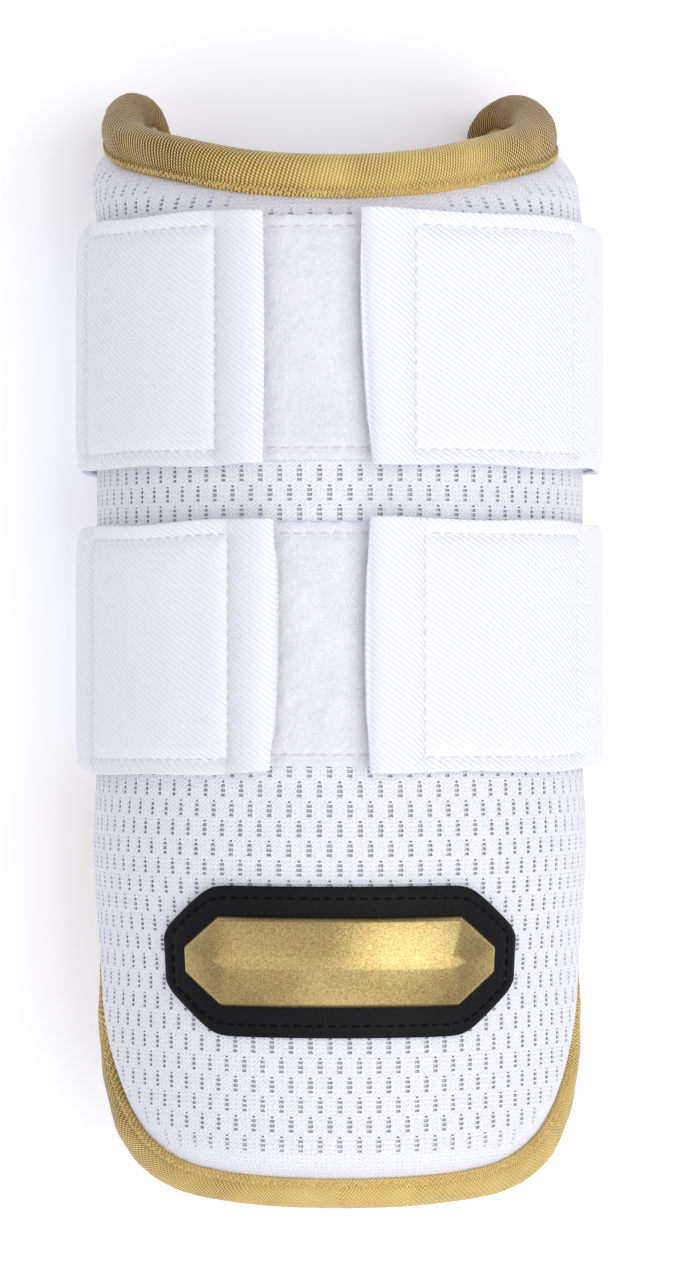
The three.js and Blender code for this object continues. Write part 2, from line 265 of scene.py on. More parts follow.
def cut_flat(name, across, along):
    """A grid with so many lines; returns it with each vertex's column and row."""
    bpy.ops.object.select_all(action="DESELECT")
    bpy.ops.mesh.primitive_grid_add(x_subdivisions=len(across) - 1, y_subdivisions=len(along) - 1, size=2)
    piece = bpy.context.object
    piece.name = piece.data.name = name
    spots = read_places(piece)
    column = np.rint((spots[:, 0] + 1) / 2 * (len(across) - 1)).astype(int)
    row = np.rint((spots[:, 1] + 1) / 2 * (len(along) - 1)).astype(int)
    return piece, column, row


def delete_faces(piece, chosen):
    mesh = piece.data
    bpy.context.tool_settings.mesh_select_mode = (False, False, True)
    mesh.vertices.foreach_set("select", np.zeros(len(mesh.vertices), dtype=bool))
    mesh.edges.foreach_set("select", np.zeros(len(mesh.edges), dtype=bool))
    mesh.polygons.foreach_set("select", np.asarray(chosen, dtype=bool))
    bpy.ops.object.mode_set(mode="EDIT")
    bpy.ops.mesh.delete(type="FACE")
    bpy.ops.object.mode_set(mode="OBJECT")


def modify(piece, kind, **settings):
    """Adds a modifier with its settings and applies it."""
    select_only(piece)
    bpy.ops.object.modifier_add(type=kind)
    for name, value in settings.items():
        setattr(piece.modifiers[-1], name, value)
    bpy.ops.object.modifier_apply(modifier=piece.modifiers[-1].name)


def triangles(piece):
    return sum(len(face.vertices) - 2 for face in piece.data.polygons)


def finish_piece(piece, material, slot, *nodes):
    """Dresses a piece, hangs it on the guard and hides the CAD parts it stands for. The slot is not used."""
    piece.data.materials.clear()
    piece.data.materials.append(material)
    select_only(piece)
    bpy.ops.object.shade_smooth_by_angle(angle=SMOOTH_BELOW)
    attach(piece, "root")
    if nodes:
        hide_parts(*nodes)
    print(piece.name, "has", triangles(piece), "triangles")


# %% [markdown]
# ## Materials
# Each cloth is a Principled shader with a pattern on the cloth's own UV map, which is in millimetres. One
# function adds a node, sets it and links it. A wave texture has twenty radians to the unit, so a thread
# pitch in millimetres gives its scale. A noise has about one spot to the unit: a scale of 1.5 on a UV map
# gives spots of two thirds of a millimetre, and 900 on Object coordinates, in metres, gives spots of about
# one.

# %% Colours, nodes and waves
def colour(hexa):
    channels = [int(hexa[i:i + 2], 16) / 255 for i in (1, 3, 5)]
    return [c / 12.92 if c <= 0.04045 else ((c + 0.055) / 1.055) ** 2.4 for c in channels] + [1]


def plug(tree, node, inputs):
    """Sets a node's inputs: a socket is linked, and anything else is a value."""
    for name, value in inputs.items():
        if isinstance(value, bpy.types.NodeSocket):
            tree.links.new(value, node.inputs[name])
        else:
            node.inputs[name].default_value = value


def add(tree, kind, inputs=(), out=None, stops=(), **settings):
    """Adds a node with its settings, inputs and ramp stops; returns the output named, Fac or the first."""
    node = tree.nodes.new("ShaderNode" + kind)
    for name, value in settings.items():
        setattr(node, name, value)
    plug(tree, node, dict(inputs))
    for n, (position, hexa) in enumerate(stops):
        elements = node.color_ramp.elements
        stop = elements[n] if n < 2 else elements.new(position)
        stop.position = position
        stop.color = colour(hexa)
    return node.outputs[out or ("Fac" if "Fac" in node.outputs else 0)]


def new_material(name):
    material = bpy.data.materials.new(name)
    material.use_nodes = True
    print("making", name)
    return material, material.node_tree, material.node_tree.nodes["Principled BSDF"]


def pitch(millimetres):
    return math.tau / 20 / millimetres


# %% White knitted mesh
# Polyester yarn in a warp knit: matt and soft, with rows of small loops that lean one way and then the other.
SLOT_PITCH = 4.0
mesh_white, tree, shader = new_material("white warp knit")
cloth = add(tree, "UVMap", uv_map="Cloth")
flat_place = add(tree, "SeparateXYZ", {0: cloth}).node.outputs
wale = add(tree, "Math", {0: flat_place[0], 1: SLOT_PITCH / 2}, operation="PINGPONG")
folded = add(tree, "CombineXYZ", {0: wale, 1: flat_place[1]})  # turns back at each slot
slant = add(tree, "Mapping", {"Vector": folded, "Rotation": (0, 0, math.radians(-48))})
yarn = add(tree, "TexWave", {"Vector": slant, "Scale": pitch(0.64), "Distortion": 3, "Detail": 2})
wales = add(tree, "TexWave", {"Vector": cloth, "Scale": pitch(1.0), "Distortion": 0.8})
columns = add(tree, "Math", {0: wales, 1: 0.65, 2: 0.35}, operation="MULTIPLY_ADD")
strokes = add(tree, "Math", {0: yarn, 1: columns}, operation="MULTIPLY")
courses = add(tree, "TexWave", {"Vector": cloth, "Scale": pitch(0.95)}, bands_direction="Y")
loops = add(tree, "Math", {0: courses, 1: 0.18, 2: strokes}, operation="MULTIPLY_ADD")
cloud = add(tree, "TexNoise", {"Vector": cloth, "Scale": 1.5, "Detail": 3})
tone = add(tree, "Math", {0: cloud, 1: 0.8, 2: loops}, operation="MULTIPLY_ADD")
tint = add(tree, "ValToRGB", {"Fac": tone}, stops=((0.2, "#CACAD8"), (0.72, "#F1F1F8")))
relief = add(tree, "Bump", {"Height": tone, "Strength": 0.5, "Distance": 0.0002})
plug(tree, shader, {"Base Color": tint, "Normal": relief, "Roughness": 0.85, "Sheen Weight": 0.15})

# %% Grey backing that shows through the mesh
# Foam faced with a thin brushed cloth: dull, a little uneven, and in shade behind the windows of the knit.
backing_grey, tree, shader = new_material("brushed foam backing")
place = add(tree, "TexCoord", out="Object")
fluff = add(tree, "TexNoise", {"Vector": place, "Scale": 900, "Detail": 4})
tint = add(tree, "ValToRGB", {"Fac": fluff}, stops=((0.3, "#CACAD0"), (0.75, "#E8E8EC")))
relief = add(tree, "Bump", {"Height": fluff, "Strength": 0.5, "Distance": 0.0003})
plug(tree, shader, {"Base Color": tint, "Normal": relief, "Roughness": 0.95})

# %% White lining
# Brushed tricot against the arm: close wales of tiny loops, soft, and a shade warmer than the mesh.
lining_white, tree, shader = new_material("brushed tricot lining")
cloth = add(tree, "UVMap", uv_map="Cloth")
wales = add(tree, "TexWave", {"Vector": cloth, "Scale": pitch(1.1), "Distortion": 0.6})
nap = add(tree, "TexNoise", {"Vector": cloth, "Scale": 1.6, "Detail": 4})
both = add(tree, "Math", {0: wales, 1: nap}, operation="MULTIPLY")
tint = add(tree, "ValToRGB", {"Fac": both}, stops=((0.0, "#D6D6DE"), (0.6, "#EFEFF3")))
relief = add(tree, "Bump", {"Height": both, "Strength": 0.5, "Distance": 0.0003})
plug(tree, shader, {"Base Color": tint, "Normal": relief, "Roughness": 0.9, "Sheen Weight": 0.2})

# %% Gold binding tape
# Polyester grosgrain with a low lustre: ribs across the tape, each broken into grains by the threads along
# it. Round the two horns the tape is pulled, so its ribs are drawn apart and show whole, with dark between.
# That dark is also painted shade: the pull value darkens the tape more deeply in the horns and on the left
# front of the top, and where it is below 0 it paints light near the tongue's tip and the top's middle.
TAPE_STOPS = ((0.0, "#3A2900"), (0.1, "#6C4C06"), (0.44, "#F4C66C"), (0.82, "#FFF6B4"))
tape_gold, tree, shader = new_material("gold grosgrain tape")
cloth = add(tree, "UVMap", uv_map="Cloth")
slant = add(tree, "Mapping", {"Vector": cloth, "Rotation": (0, 0, math.radians(9))})
skew = add(tree, "Mapping", {"Vector": cloth, "Rotation": (0, 0, math.radians(28))})
ribs = add(tree, "TexWave", {"Vector": slant, "Scale": pitch(0.74), "Distortion": 0.4})
threads = add(tree, "TexWave", {"Vector": skew, "Scale": pitch(0.58)}, bands_direction="Y")
broken = add(tree, "Math", {0: threads, 1: 0.85, 2: 0.15}, operation="MULTIPLY_ADD")
pull_and_shade = add(tree, "Attribute", attribute_name="pull_and_shade")
whole = add(tree, "Math", {0: pull_and_shade, 1: 0.8}, operation="MULTIPLY")
joined = add(tree, "Math", {0: broken, 1: whole}, operation="MAXIMUM")
grain = add(tree, "Math", {0: ribs, 1: joined}, operation="MULTIPLY")
# Painted shade: the pull value darkens the tape in the horns and the top's left front; below 0 it lightens.
bared_and_painted_shade = add(tree, "Math", {0: pull_and_shade, 1: -0.6, 2: grain}, operation="MULTIPLY_ADD")
drift = add(tree, "TexNoise", {"Vector": cloth, "Scale": 0.09, "Detail": 3})
tone = add(tree, "Math", {0: drift, 1: 0.35, 2: bared_and_painted_shade}, operation="MULTIPLY_ADD")
tint = add(tree, "ValToRGB", {"Fac": tone}, stops=TAPE_STOPS)
relief = add(tree, "Bump", {"Height": grain, "Strength": 0.9, "Distance": 0.0003})
plug(tree, shader, {"Base Color": tint, "Normal": relief, "Roughness": 0.45})
plug(tree, shader, {"Specular IOR Level": 0.6, "Specular Tint": colour("#E6C67A")})

# %% White twill elastic
# A woven elastic face: fine diagonal ridges that catch the light, over a slightly uneven, padded hand.
elastic_white, tree, shader = new_material("white twill elastic")
cloth = add(tree, "UVMap", uv_map="Cloth")
slant = add(tree, "Mapping", {"Vector": cloth, "Rotation": (0, 0, math.radians(-56))})
ridges = add(tree, "TexWave", {"Vector": slant, "Scale": pitch(1.0), "Distortion": 0.5})
picks = add(tree, "TexWave", {"Vector": slant, "Scale": pitch(0.7)}, bands_direction="Y")
twill = add(tree, "Math", {0: picks, 1: 0.25, 2: ridges}, operation="MULTIPLY_ADD")
cloud = add(tree, "TexNoise", {"Vector": cloth, "Scale": 0.06, "Detail": 4})
tone = add(tree, "Math", {0: cloud, 1: 0.5, 2: twill}, operation="MULTIPLY_ADD")
tint = add(tree, "ValToRGB", {"Fac": tone}, stops=((0.15, "#EDECFC"), (1.0, "#FAFAFF")))
relief = add(tree, "Bump", {"Height": twill, "Strength": 0.65, "Distance": 0.00026})
plug(tree, shader, {"Base Color": tint, "Normal": relief, "Roughness": 0.75, "Sheen Weight": 0.2})

# %% White loop pile
# Brushed nylon loops: no weave to see, only a tangled nap that lies in soft patches.
loop_white, tree, shader = new_material("brushed loop pile")
cloth = add(tree, "UVMap", uv_map="Cloth")
tangle = add(tree, "TexNoise", {"Vector": cloth, "Scale": 1.3, "Detail": 6, "Distortion": 1.5})
patches = add(tree, "TexNoise", {"Vector": cloth, "Scale": 0.12, "Detail": 2})
tone = add(tree, "Math", {0: patches, 1: 0.5, 2: tangle}, operation="MULTIPLY_ADD")
tint = add(tree, "ValToRGB", {"Fac": tone}, stops=((0.35, "#DCDCE1"), (0.95, "#F2F1F4")))
relief = add(tree, "Bump", {"Height": tangle, "Strength": 0.45, "Distance": 0.0005})
plug(tree, shader, {"Base Color": tint, "Normal": relief, "Roughness": 0.95, "Sheen Weight": 0.15})

# %% White hook tape
# Nylon hook tape: a plain woven ground with rows of stiff bent hooks, here as a fine grid of bumps.
hook_white, tree, shader = new_material("nylon hook tape")
place = add(tree, "TexCoord", out="Object")
rows = add(tree, "TexWave", {"Vector": place, "Scale": pitch(0.0016)}, bands_direction="Y")
dots = add(tree, "TexVoronoi", {"Vector": place, "Scale": 700})
hooks = add(tree, "Math", {0: rows, 1: dots}, operation="MULTIPLY")
tint = add(tree, "ValToRGB", {"Fac": hooks}, stops=((0, "#D2D2D8"), (1, "#F0F0F4")))
relief = add(tree, "Bump", {"Height": hooks, "Strength": 0.8, "Distance": 0.0005})
plug(tree, shader, {"Base Color": tint, "Normal": relief, "Roughness": 0.55})

# %% Black synthetic leather
# Coated cloth with a pressed pebble grain: dark, with a soft low gloss that breaks up over the pebbles.
leather_black, tree, shader = new_material("black synthetic leather")
place = add(tree, "TexCoord", out="Object")
pebble = add(tree, "TexVoronoi", {"Vector": place, "Scale": 1300, "Randomness": 0.9})
dust = add(tree, "TexNoise", {"Vector": place, "Scale": 220, "Detail": 5})
tint = add(tree, "ValToRGB", {"Fac": dust}, stops=((0.3, "#060607"), (0.8, "#0E0E10")))
gloss = add(tree, "MapRange", {"Value": dust, "To Min": 0.5, "To Max": 0.72})
relief = add(tree, "Bump", {"Height": pebble, "Strength": 0.35, "Distance": 0.0003})
plug(tree, shader, {"Base Color": tint, "Normal": relief, "Roughness": gloss, "Specular IOR Level": 0.18})

# %% Satin gold moulding
# A moulded emblem with a satin gold metal finish: fine sparkle, softer and duller in some patches.
moulding_gold, tree, shader = new_material("satin gold moulding")
place = add(tree, "TexCoord", out="Object")
sparkle = add(tree, "TexNoise", {"Vector": place, "Scale": 2600, "Detail": 3})
wear = add(tree, "TexNoise", {"Vector": place, "Scale": 90, "Detail": 4})
flakes = add(tree, "Math", {0: wear, 1: 0.4, 2: sparkle}, operation="MULTIPLY_ADD")
tint = add(tree, "ValToRGB", {"Fac": flakes}, stops=((0.45, "#9C824A"), (0.95, "#D2BD84")))
gloss = add(tree, "MapRange", {"Value": wear, "To Min": 0.3, "To Max": 0.42})
relief = add(tree, "Bump", {"Height": sparkle, "Strength": 0.18, "Distance": 0.0002})
plug(tree, shader, {"Base Color": tint, "Normal": relief, "Roughness": gloss, "Metallic": 1.0})


# %% Sewing threads
# Twisted polyester thread. The twist is drawn coarser than the real one, so that it still shows.
def thread(name, dark, light, sheen=0.2, specular=0.5):
    material, tree, shader = new_material(name)
    place = add(tree, "TexCoord", out="Object")
    twist = add(tree, "TexNoise", {"Vector": place, "Scale": 2200, "Detail": 2})
    tint = add(tree, "ValToRGB", {"Fac": twist}, stops=((0.3, dark), (0.7, light)))
    plug(tree, shader, {"Base Color": tint, "Roughness": 0.7})
    plug(tree, shader, {"Sheen Weight": sheen, "Specular IOR Level": specular})
    return material


thread_white = thread("white sewing thread", "#D2D0CC", "#ECEAE6")
thread_gold = thread("gold sewing thread", "#B49248", "#EACE88")
thread_black = thread("black sewing thread", "#020203", "#060607", sheen=0, specular=0.1)

# %% [markdown]
# ## The padded shell
# Foam fills the space between the mesh and the lining. Its CAD solid already has the form, pinched where the
# tape holds it, so a copy of it is welded, turned back into quads and smoothed. Its outer face then sinks to
# make room for the mesh.

# %% Copy a CAD solid
WELD = 0.02 * MM
QUAD_SHAPE = math.radians(60)


def copy_solid(node, name, fold):
    """A copy of a CAD solid, welded, with its triangles joined to quads across folds below an angle."""
    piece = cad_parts[node].copy()
    piece.data = piece.data.copy()
    piece.name = piece.data.name = name
    piece.parent = None
    bpy.context.collection.objects.link(piece)
    select_only(piece)
    bpy.ops.object.mode_set(mode="EDIT")
    bpy.ops.mesh.select_all(action="SELECT")
    bpy.ops.mesh.remove_doubles(threshold=WELD)
    bpy.ops.mesh.tris_convert_to_quads(face_threshold=fold, shape_threshold=QUAD_SHAPE)
    bpy.ops.object.mode_set(mode="OBJECT")
    return piece


shell = copy_solid("padded_shell", "foam_body", math.radians(60))
print("the foam starts from", len(shell.data.polygons), "faces")

# %% Foam body and lining
MESH_THICKNESS, MESH_CLEARANCE = 0.4, 0.04
FOAM_SINK = 0.2  # under the mesh's face beside the tape, where the foam fills the knit
FOAM_DROPS_TOP, FOAM_DROPS_LOW = (9, 12.5), (12, 17)  # inset over which it drops clear of the mesh
FACES_OUT = (0.3, 0.6)  # how far a face turns outwards, from none of the sinking to all of it
FACES_ARM = -0.3
LINING_RADIUS = 45


def flat_place_of(places, height):
    angle, along = unwrap(places, height)
    return angle, along, inset_from_edge(np.stack([angle * SHEET_RADIUS, along], -1))


modify(shell, "SUBSURF", levels=1, render_levels=1)
places = read_places(shell)
normals = read_places(shell, "normal")
_, along, inset = flat_place_of(places, 0)
angle, along, inset = flat_place_of(places, -pinch(inset) * edge_sink(along))
drops = np.where(along > 0, ease(inset, *FOAM_DROPS_TOP), ease(inset, *FOAM_DROPS_LOW))
below_mesh = FOAM_SINK + (MESH_THICKNESS + MESH_CLEARANCE) * drops
under_mesh = on_guard(angle, along, -pinch(inset) * edge_sink(along) - below_mesh)
outward = np.stack([np.sin(angle), np.zeros(len(places)), np.cos(angle)], -1)
faces_out = ease((normals * outward).sum(-1), *FACES_OUT)[:, None]
lay(shell, places + (under_mesh - places) * faces_out)
mark_cloth(shell, np.stack([angle * LINING_RADIUS, along], -1))
finish_piece(shell, backing_grey, "mesh", "padded_shell")
shell.data.materials.append(lining_white)
for face in shell.data.polygons:
    turn = math.atan2(face.center.x / MM - SHIFT_X, face.center.z / MM - AXIS_HEIGHT)
    face.material_index = int(face.normal.x * math.sin(turn) + face.normal.z * math.cos(turn) < FACES_ARM)

# %% [markdown]
# ## The mesh cover
# The cover is a sports mesh: rows of upright slots, each crossed by thin bars into four small windows, with
# every second row shifted by half a step. A picture of it would be flat, so the windows are real. The
# grid's lines run along the edges of the windows, the window faces are deleted, and a Solidify modifier
# gives the knit its thickness. Under the straps the mesh isn't seen, so the grid is coarse there.

# %% Lines of the mesh grid
ROW_PITCH, FIRST_ROW = 3.9, -31.4
SLOT_EDGES = (0.5, 1.5, 2.5, 3.5)  # across one pitch: window sides of plain rows and of shifted rows
WINDOW_EDGES = (0.30, 0.85, 1.20, 1.82, 2.15, 2.72, 3.05, 3.42)  # up one pitch: foot and head of each window
WINDOW_NARROWS = (0.02, 0.02, -0.04, -0.04, 0.0, 0.0, 0.17, 0.22)  # how far each of these draws the sides in
CLOSED_EDGES = (0.6, 1.9, 3.2)  # lines up one pitch of closed knit, beside the tape
HIDDEN_EDGES = (2,)  # and of knit under a strap
MESH_RADIUS = 50.5
MESH_BANDS = [(-104, -24), (21, 33), (78, 102)]  # along the arm, where slots show between straps and edges
SLOTS_ACROSS, SLOT_ROWS = range(-30, 30), range(-24, 40)

mesh_columns = np.array([SLOT_PITCH * n + edge_at for n in SLOTS_ACROSS for edge_at in SLOT_EDGES])
mesh_rows = []
line_slot = []
line_window = []
for n in SLOT_ROWS:
    foot = FIRST_ROW + n * ROW_PITCH
    lines = HIDDEN_EDGES
    if any(low <= foot < high for low, high in MESH_BANDS):
        lines = WINDOW_EDGES
    elif foot < MESH_BANDS[0][0] or foot >= MESH_BANDS[-1][1]:
        lines = CLOSED_EDGES
    mesh_rows += [foot + edge_at for edge_at in lines]
    line_slot += [n] * len(lines)
    line_window += list(range(len(lines))) if lines is WINDOW_EDGES else [-1] * len(lines)
mesh_rows, line_slot, line_window = (np.array(values) for values in (mesh_rows, line_slot, line_window))
print(len(mesh_columns), "by", len(mesh_rows), "lines")

# %% Flat places of the mesh
cover, column, row = cut_flat("mesh_cover", mesh_columns, mesh_rows)
side_of_slot = column % 4
plain_side, shifted_side = np.isin(side_of_slot, (1, 2)), np.isin(side_of_slot, (0, 3))
on_window_side = np.where(line_slot[row] % 2 == 0, shifted_side, plain_side)
toward = np.where(side_of_slot % 2 == 1, 1, -1)
narrowing = np.where(line_window[row] >= 0, np.array(WINDOW_NARROWS)[line_window[row]], 0)
flat = np.stack([mesh_columns[column] + on_window_side * toward * narrowing, mesh_rows[row]], -1)
to_sheet = [SHEET_RADIUS / MESH_RADIUS, 1]
print("flat mesh spans", np.round(np.ptp(flat, axis=0)), "mm before it is cut")

# %% Faces that are windows
CLOSED_TOP, CLOSED_LOW = 10.6, 12.6  # inset within which the knit is stretched shut beside the tape
MESH_INSET = 4.5  # the mesh ends here, under the tape
SLOT_MIDDLE = 1.9
face_corners = read_corners(cover).reshape(-1, 4)
face_column = column[face_corners].min(axis=1)
face_row = row[face_corners].min(axis=1)
face_slot, face_window = line_slot[face_row], line_window[face_row]
face_place = flat[face_corners].mean(axis=1) * to_sheet
slot_place = np.stack([face_place[:, 0], FIRST_ROW + face_slot * ROW_PITCH + SLOT_MIDDLE], -1)
closed_within = np.where(slot_place[:, 1] > 0, CLOSED_TOP, CLOSED_LOW)
open_here = inset_from_edge(slot_place) > closed_within
window_column = face_column % 4 == np.where(face_slot % 2 == 0, 3, 1)
window = (face_window >= 0) & (face_window % 2 == 0) & window_column & open_here
cut_away = window | (inset_from_edge(face_place) < MESH_INSET)
print(int(window.sum()), "windows")

# %% Wrap the mesh and open its windows
height = -pinch(inset_from_edge(flat * to_sheet)) * edge_sink(flat[:, 1])
lay(cover, on_guard(flat[:, 0] / MESH_RADIUS, flat[:, 1], height))
mark_cloth(cover, flat)
delete_faces(cover, cut_away)
modify(cover, "SOLIDIFY", thickness=MESH_THICKNESS * MM, offset=-1)
finish_piece(cover, mesh_white, "mesh", "padded_shell")

# %% [markdown]
# ## The edge binding
# A tape folded over the edge is a closed roll, and Blender's torus is one already. Each of its small rings is
# reshaped to the tape's U section and set on a station of the edge. The section has a round back, a seam near
# each lip and a rounded hem beyond it.

# %% Section of the binding
TAPE_SECTION = [  # inset from the outer edge, depth from the middle of the held edge
    (0.0, 0.0), (0.12, -1.1), (0.5, -2.2), (1.15, -3.2), (2.1, -3.95), (3.3, -4.4), (4.7, -4.55), (6.0, -4.5),
    (6.7, -4.3), (7.05, -4.0), (7.4, -4.12), (7.9, -4.32), (8.5, -4.25), (8.95, -3.95), (9.05, -3.5),
    (8.9, -3.15), (6.0, -3.25), (2.2, -3.3), (1.6, -2.6), (1.5, 0.0), (1.6, 2.6), (2.2, 3.3), (6.0, 3.25),
    (8.9, 3.15), (9.05, 3.5), (8.95, 3.95), (8.5, 4.25), (7.9, 4.32), (7.4, 4.12), (7.05, 4.0), (6.7, 4.3),
    (6.0, 4.5), (4.7, 4.55), (3.3, 4.4), (2.1, 3.95), (1.15, 3.2), (0.5, 2.2), (0.12, 1.1),
]


def on_tape(place, depth):
    """Places in metres from flat places and their depth below the middle of the held edge."""
    middle = -edge_sink(place[:, 1]) - EDGE_THICKNESS / 2
    return on_guard(place[:, 0] / SHEET_RADIUS, place[:, 1], middle - depth)


section = np.array(TAPE_SECTION)
tape_run = run_along(np.vstack([section, section[:1]]))
print("tape is", round(tape_run[-1], 1), "mm round its section")

# %% Sweep of the binding
RIPPLES = ((0.12, 61), (0.1, 23))  # height, and waves round the guard
RIPPLES_WITHIN, RIPPLES_ABOVE = 6.5, 3.8  # inset and depth of the faces that ripple
bpy.ops.object.select_all(action="DESELECT")
bpy.ops.mesh.primitive_torus_add(
    major_segments=EDGE_STATIONS, minor_segments=len(section), major_radius=1, minor_radius=0.25
)
binding = bpy.context.object
binding.name = binding.data.name = "edge_binding_tape"
spots = read_places(binding)
station = np.arctan2(spots[:, 1], spots[:, 0]) / math.tau * EDGE_STATIONS
station = np.rint(station).astype(int) % EDGE_STATIONS
ring = np.arctan2(spots[:, 2], np.hypot(spots[:, 0], spots[:, 1]) - 1)
ring = np.rint(ring / math.tau * len(section)).astype(int) % len(section)
inset, depth = section[ring].T
ripple = sum(size * np.sin(station / EDGE_STATIONS * math.tau * waves) for size, waves in RIPPLES)
ripples_here = (inset < RIPPLES_WITHIN) & (np.abs(depth) > RIPPLES_ABOVE)
swell = np.where(ripples_here, ripple * np.sign(depth), 0)
lay(binding, on_tape(edge[station] + edge_inward[station] * inset[:, None], depth + swell))
print("tape is swept over", EDGE_STATIONS, "stations")

# %% Weave of the binding
# The tape is pulled on the slant round the bends, so its ribs lean there, and at the two horns they open.
# Each row has a share of the way round from the tongue's tip, the lean in millimetres for each one across,
# and how open the ribs are: at 1 they are twice as far apart. The last number is also painted shade: the
# material darkens the tape by it in the horns and on the left front of the top, and paints light where it
# is below 0.
TAPE_PULL_AND_SHADE = [
    (0, -0.6, -0.15), (0.05, -0.9, -0.1), (0.1, 0, 0), (0.3, 0, 0), (0.345, 0, 1.15), (0.395, -0.2, 1.2),
    (0.44, -0.9, 0.4), (0.47, -0.5, -0.12), (0.51, -0.15, 0), (0.535, -0.1, 0.15), (0.575, 0.8, 0.65),
    (0.61, 0.2, 0.9), (0.655, 0, 1), (0.7, 0, 0), (0.86, 0, 0), (0.91, -1.2, 0.2), (0.945, -1.2, 0),
    (1, -0.6, -0.15),
]


def past_the_join(numbers, count):
    """Numbers round a ring at the corners of faces; a face across the join counts on past the last."""
    crosses = np.ptp(numbers, axis=1)[:, None] > count / 2
    return np.where(crosses, (numbers - 1) % count + 1, numbers)


corners = read_corners(binding).reshape(-1, 4)
along_tape = past_the_join(station[corners], EDGE_STATIONS)
across_tape = tape_run[past_the_join(ring[corners], len(section))]
past_half = across_tape > tape_run[-1] / 2
across_tape = np.where(past_half, across_tape - tape_run[-1], across_tape)  # nothing at the fold
way_round, lean, pull_and_shade = np.array(TAPE_PULL_AND_SHADE).T
every_station = np.arange(EDGE_STATIONS + 1) / EDGE_STATIONS
lean_here = np.interp(every_station, way_round, lean)
pull_and_shade_here = np.interp(every_station, way_round, pull_and_shade)
weave_run = np.cumsum(edge_length / EDGE_STATIONS / (1 + pull_and_shade_here))
leant = weave_run[along_tape] + lean_here[along_tape] * across_tape
mark_corners(binding, np.stack([leant, across_tape], -1))
# The attribute carries the ribs' opening and the painted shade that the material darkens the tape by.
pull_and_shade_layer = binding.data.attributes.new("pull_and_shade", "FLOAT", "POINT")
pull_and_shade_layer.data.foreach_set("value", pull_and_shade_here[station])
bpy.ops.object.mode_set(mode="EDIT")
bpy.ops.mesh.select_all(action="SELECT")
bpy.ops.mesh.normals_make_consistent(inside=False)
bpy.ops.object.mode_set(mode="OBJECT")
finish_piece(binding, tape_gold, "binding", "edge_binding")

# %% [markdown]
# ## Stitches
# A stitch is a short, fat bead of thread that dips into the cloth at both ends. One low sphere is modelled,
# and a seam is many copies of it in one mesh, turned along the seam and stood on the cloth.

# %% One stitch
STITCH_FLATNESS = 0.8
FIRST_STITCH = 0.3  # from the start of a line
STITCHES = {  # from one to the next, length and half thickness
    "loop": (2.6, 1.9, 0.2),
    "tab": (2.6, 2.0, 0.3),
    "badge": (2.3, 1.7, 0.24),
}
bpy.ops.object.select_all(action="DESELECT")
bpy.ops.mesh.primitive_uv_sphere_add(segments=6, ring_count=5, radius=1)
bead = bpy.context.object
bead_places = read_places(bead)
order = np.lexsort(np.round(bead_places, 3).T)  # Blender's own order changes from run to run
number = np.argsort(order)
stitch_places = bead_places[order][:, [2, 0, 1]]
stitch_faces = []
for face in bead.data.polygons:
    corners = number[list(face.vertices)]
    stitch_faces.append(tuple(np.roll(corners, -np.argmin(corners)).tolist()))
stitch_faces.sort()
bpy.data.objects.remove(bead)
print("one stitch has", len(stitch_faces), "faces")


# %% Sew a seam
def sew(name, starts, ends, ups, half_thick, material, slot):
    """Copies the stitch from each start to its end in metres, standing on its up direction."""
    run = ends - starts
    length = np.linalg.norm(run, axis=1)[:, None]
    run = run / length
    side = np.cross(ups, run)
    side /= np.linalg.norm(side, axis=1)[:, None]
    up = np.cross(run, side)
    size = [stitch_places[:, k][None, :, None] for k in range(3)]
    places = ((starts + ends) / 2)[:, None, :] + size[0] * (run * length / 2)[:, None, :]
    places = places + size[1] * side[:, None, :] * half_thick * MM
    places = places + size[2] * up[:, None, :] * half_thick * STITCH_FLATNESS * MM
    firsts = range(0, len(starts) * len(stitch_places), len(stitch_places))
    faces = [tuple(first + v for v in face) for first in firsts for face in stitch_faces]
    mesh = bpy.data.meshes.new(name)
    mesh.from_pydata(places.reshape(-1, 3).tolist(), [], faces)
    seam = bpy.data.objects.new(name, mesh)
    bpy.context.collection.objects.link(seam)
    finish_piece(seam, material, slot)


def sew_lines(name, lines, stitches, material, slot, on_cloth, *cloth):
    """Plain stitches along flat lines; on_cloth puts flat places on a cloth, lifted by a height."""
    step, length, half_thick = STITCHES[stitches]
    starts, ends = [], []
    for line in lines:
        run = run_along(line)
        firsts = np.arange(FIRST_STITCH, run[-1] - length, step)
        starts.append(points_at(firsts, run, line))
        ends.append(points_at(firsts + length, run, line))
    starts, ends = np.concatenate(starts), np.concatenate(ends)
    low = on_cloth(starts, 0, *cloth)
    raised = on_cloth(starts, 1, *cloth) - low
    sew(name, low, on_cloth(ends, 0, *cloth), raised, half_thick, material, slot)


# %% Zigzag seam that holds the binding
# The tape is sewn down on both faces near its lips. The needle swings across the seam, so the stitches lean
# in turn.
ZIGZAG_STEP = 1.6
SWING_OUT, SWING_IN = 7.4, 8.6  # inset of the needle's two sides
SEAM_DEPTH, ZIGZAG_HALF_THICK = 4.34, 0.24
count = int(edge_length / ZIGZAG_STEP) * 2
fine_edge, _ = evenly(edge, count)
swing = np.where(np.arange(count) % 2 == 0, SWING_OUT, SWING_IN)
knots = fine_edge + inward(fine_edge) * swing[:, None]
for face_name, side in (("outer", -1), ("inner", 1)):
    tips = on_tape(knots, side * SEAM_DEPTH)
    raised = on_tape(knots, side * (SEAM_DEPTH + 1)) - tips
    next_tips = np.roll(tips, -1, axis=0)
    sew(f"binding_seam_{face_name}", tips, next_tips, raised, ZIGZAG_HALF_THICK, thread_gold, "binding")

# %% [markdown]
# ## The loop strips
# A strip of brushed loop is sewn across the front under each strap. Between the two tabs it lies open, so its
# pile is modelled there: the grid is fine, and each vertex is lifted by a random nap. Elsewhere it is hidden
# and coarse.

